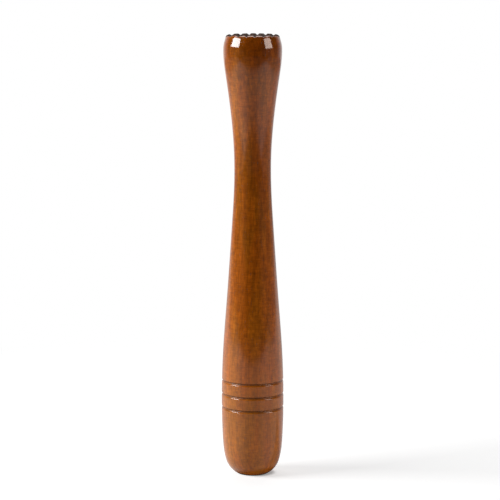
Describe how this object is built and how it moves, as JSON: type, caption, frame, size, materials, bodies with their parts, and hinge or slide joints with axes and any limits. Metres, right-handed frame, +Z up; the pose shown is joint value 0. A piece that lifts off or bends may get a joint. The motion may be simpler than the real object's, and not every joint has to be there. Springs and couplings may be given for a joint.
{
  "type": "muddler",
  "caption": "Turned wooden bar muddler with a waisted handle, a wide rounded end it stands on and a toothed pressing face.",
  "frame": {"origin": "centre of the small flat at the foot of the rounded end, on the turning axis", "axes": "+Z up the turning axis to the toothed pressing face; X and Y nearly parallel to the two rows of cuts"},
  "size_m": [0.0352, 0.0352, 0.25],
  "materials": {
    "lacquered_wood": "brown stain under gloss lacquer"
  },
  "bodies": {
    "root": {"turned_body": "lacquered_wood"}
  },
  "joints": []
}
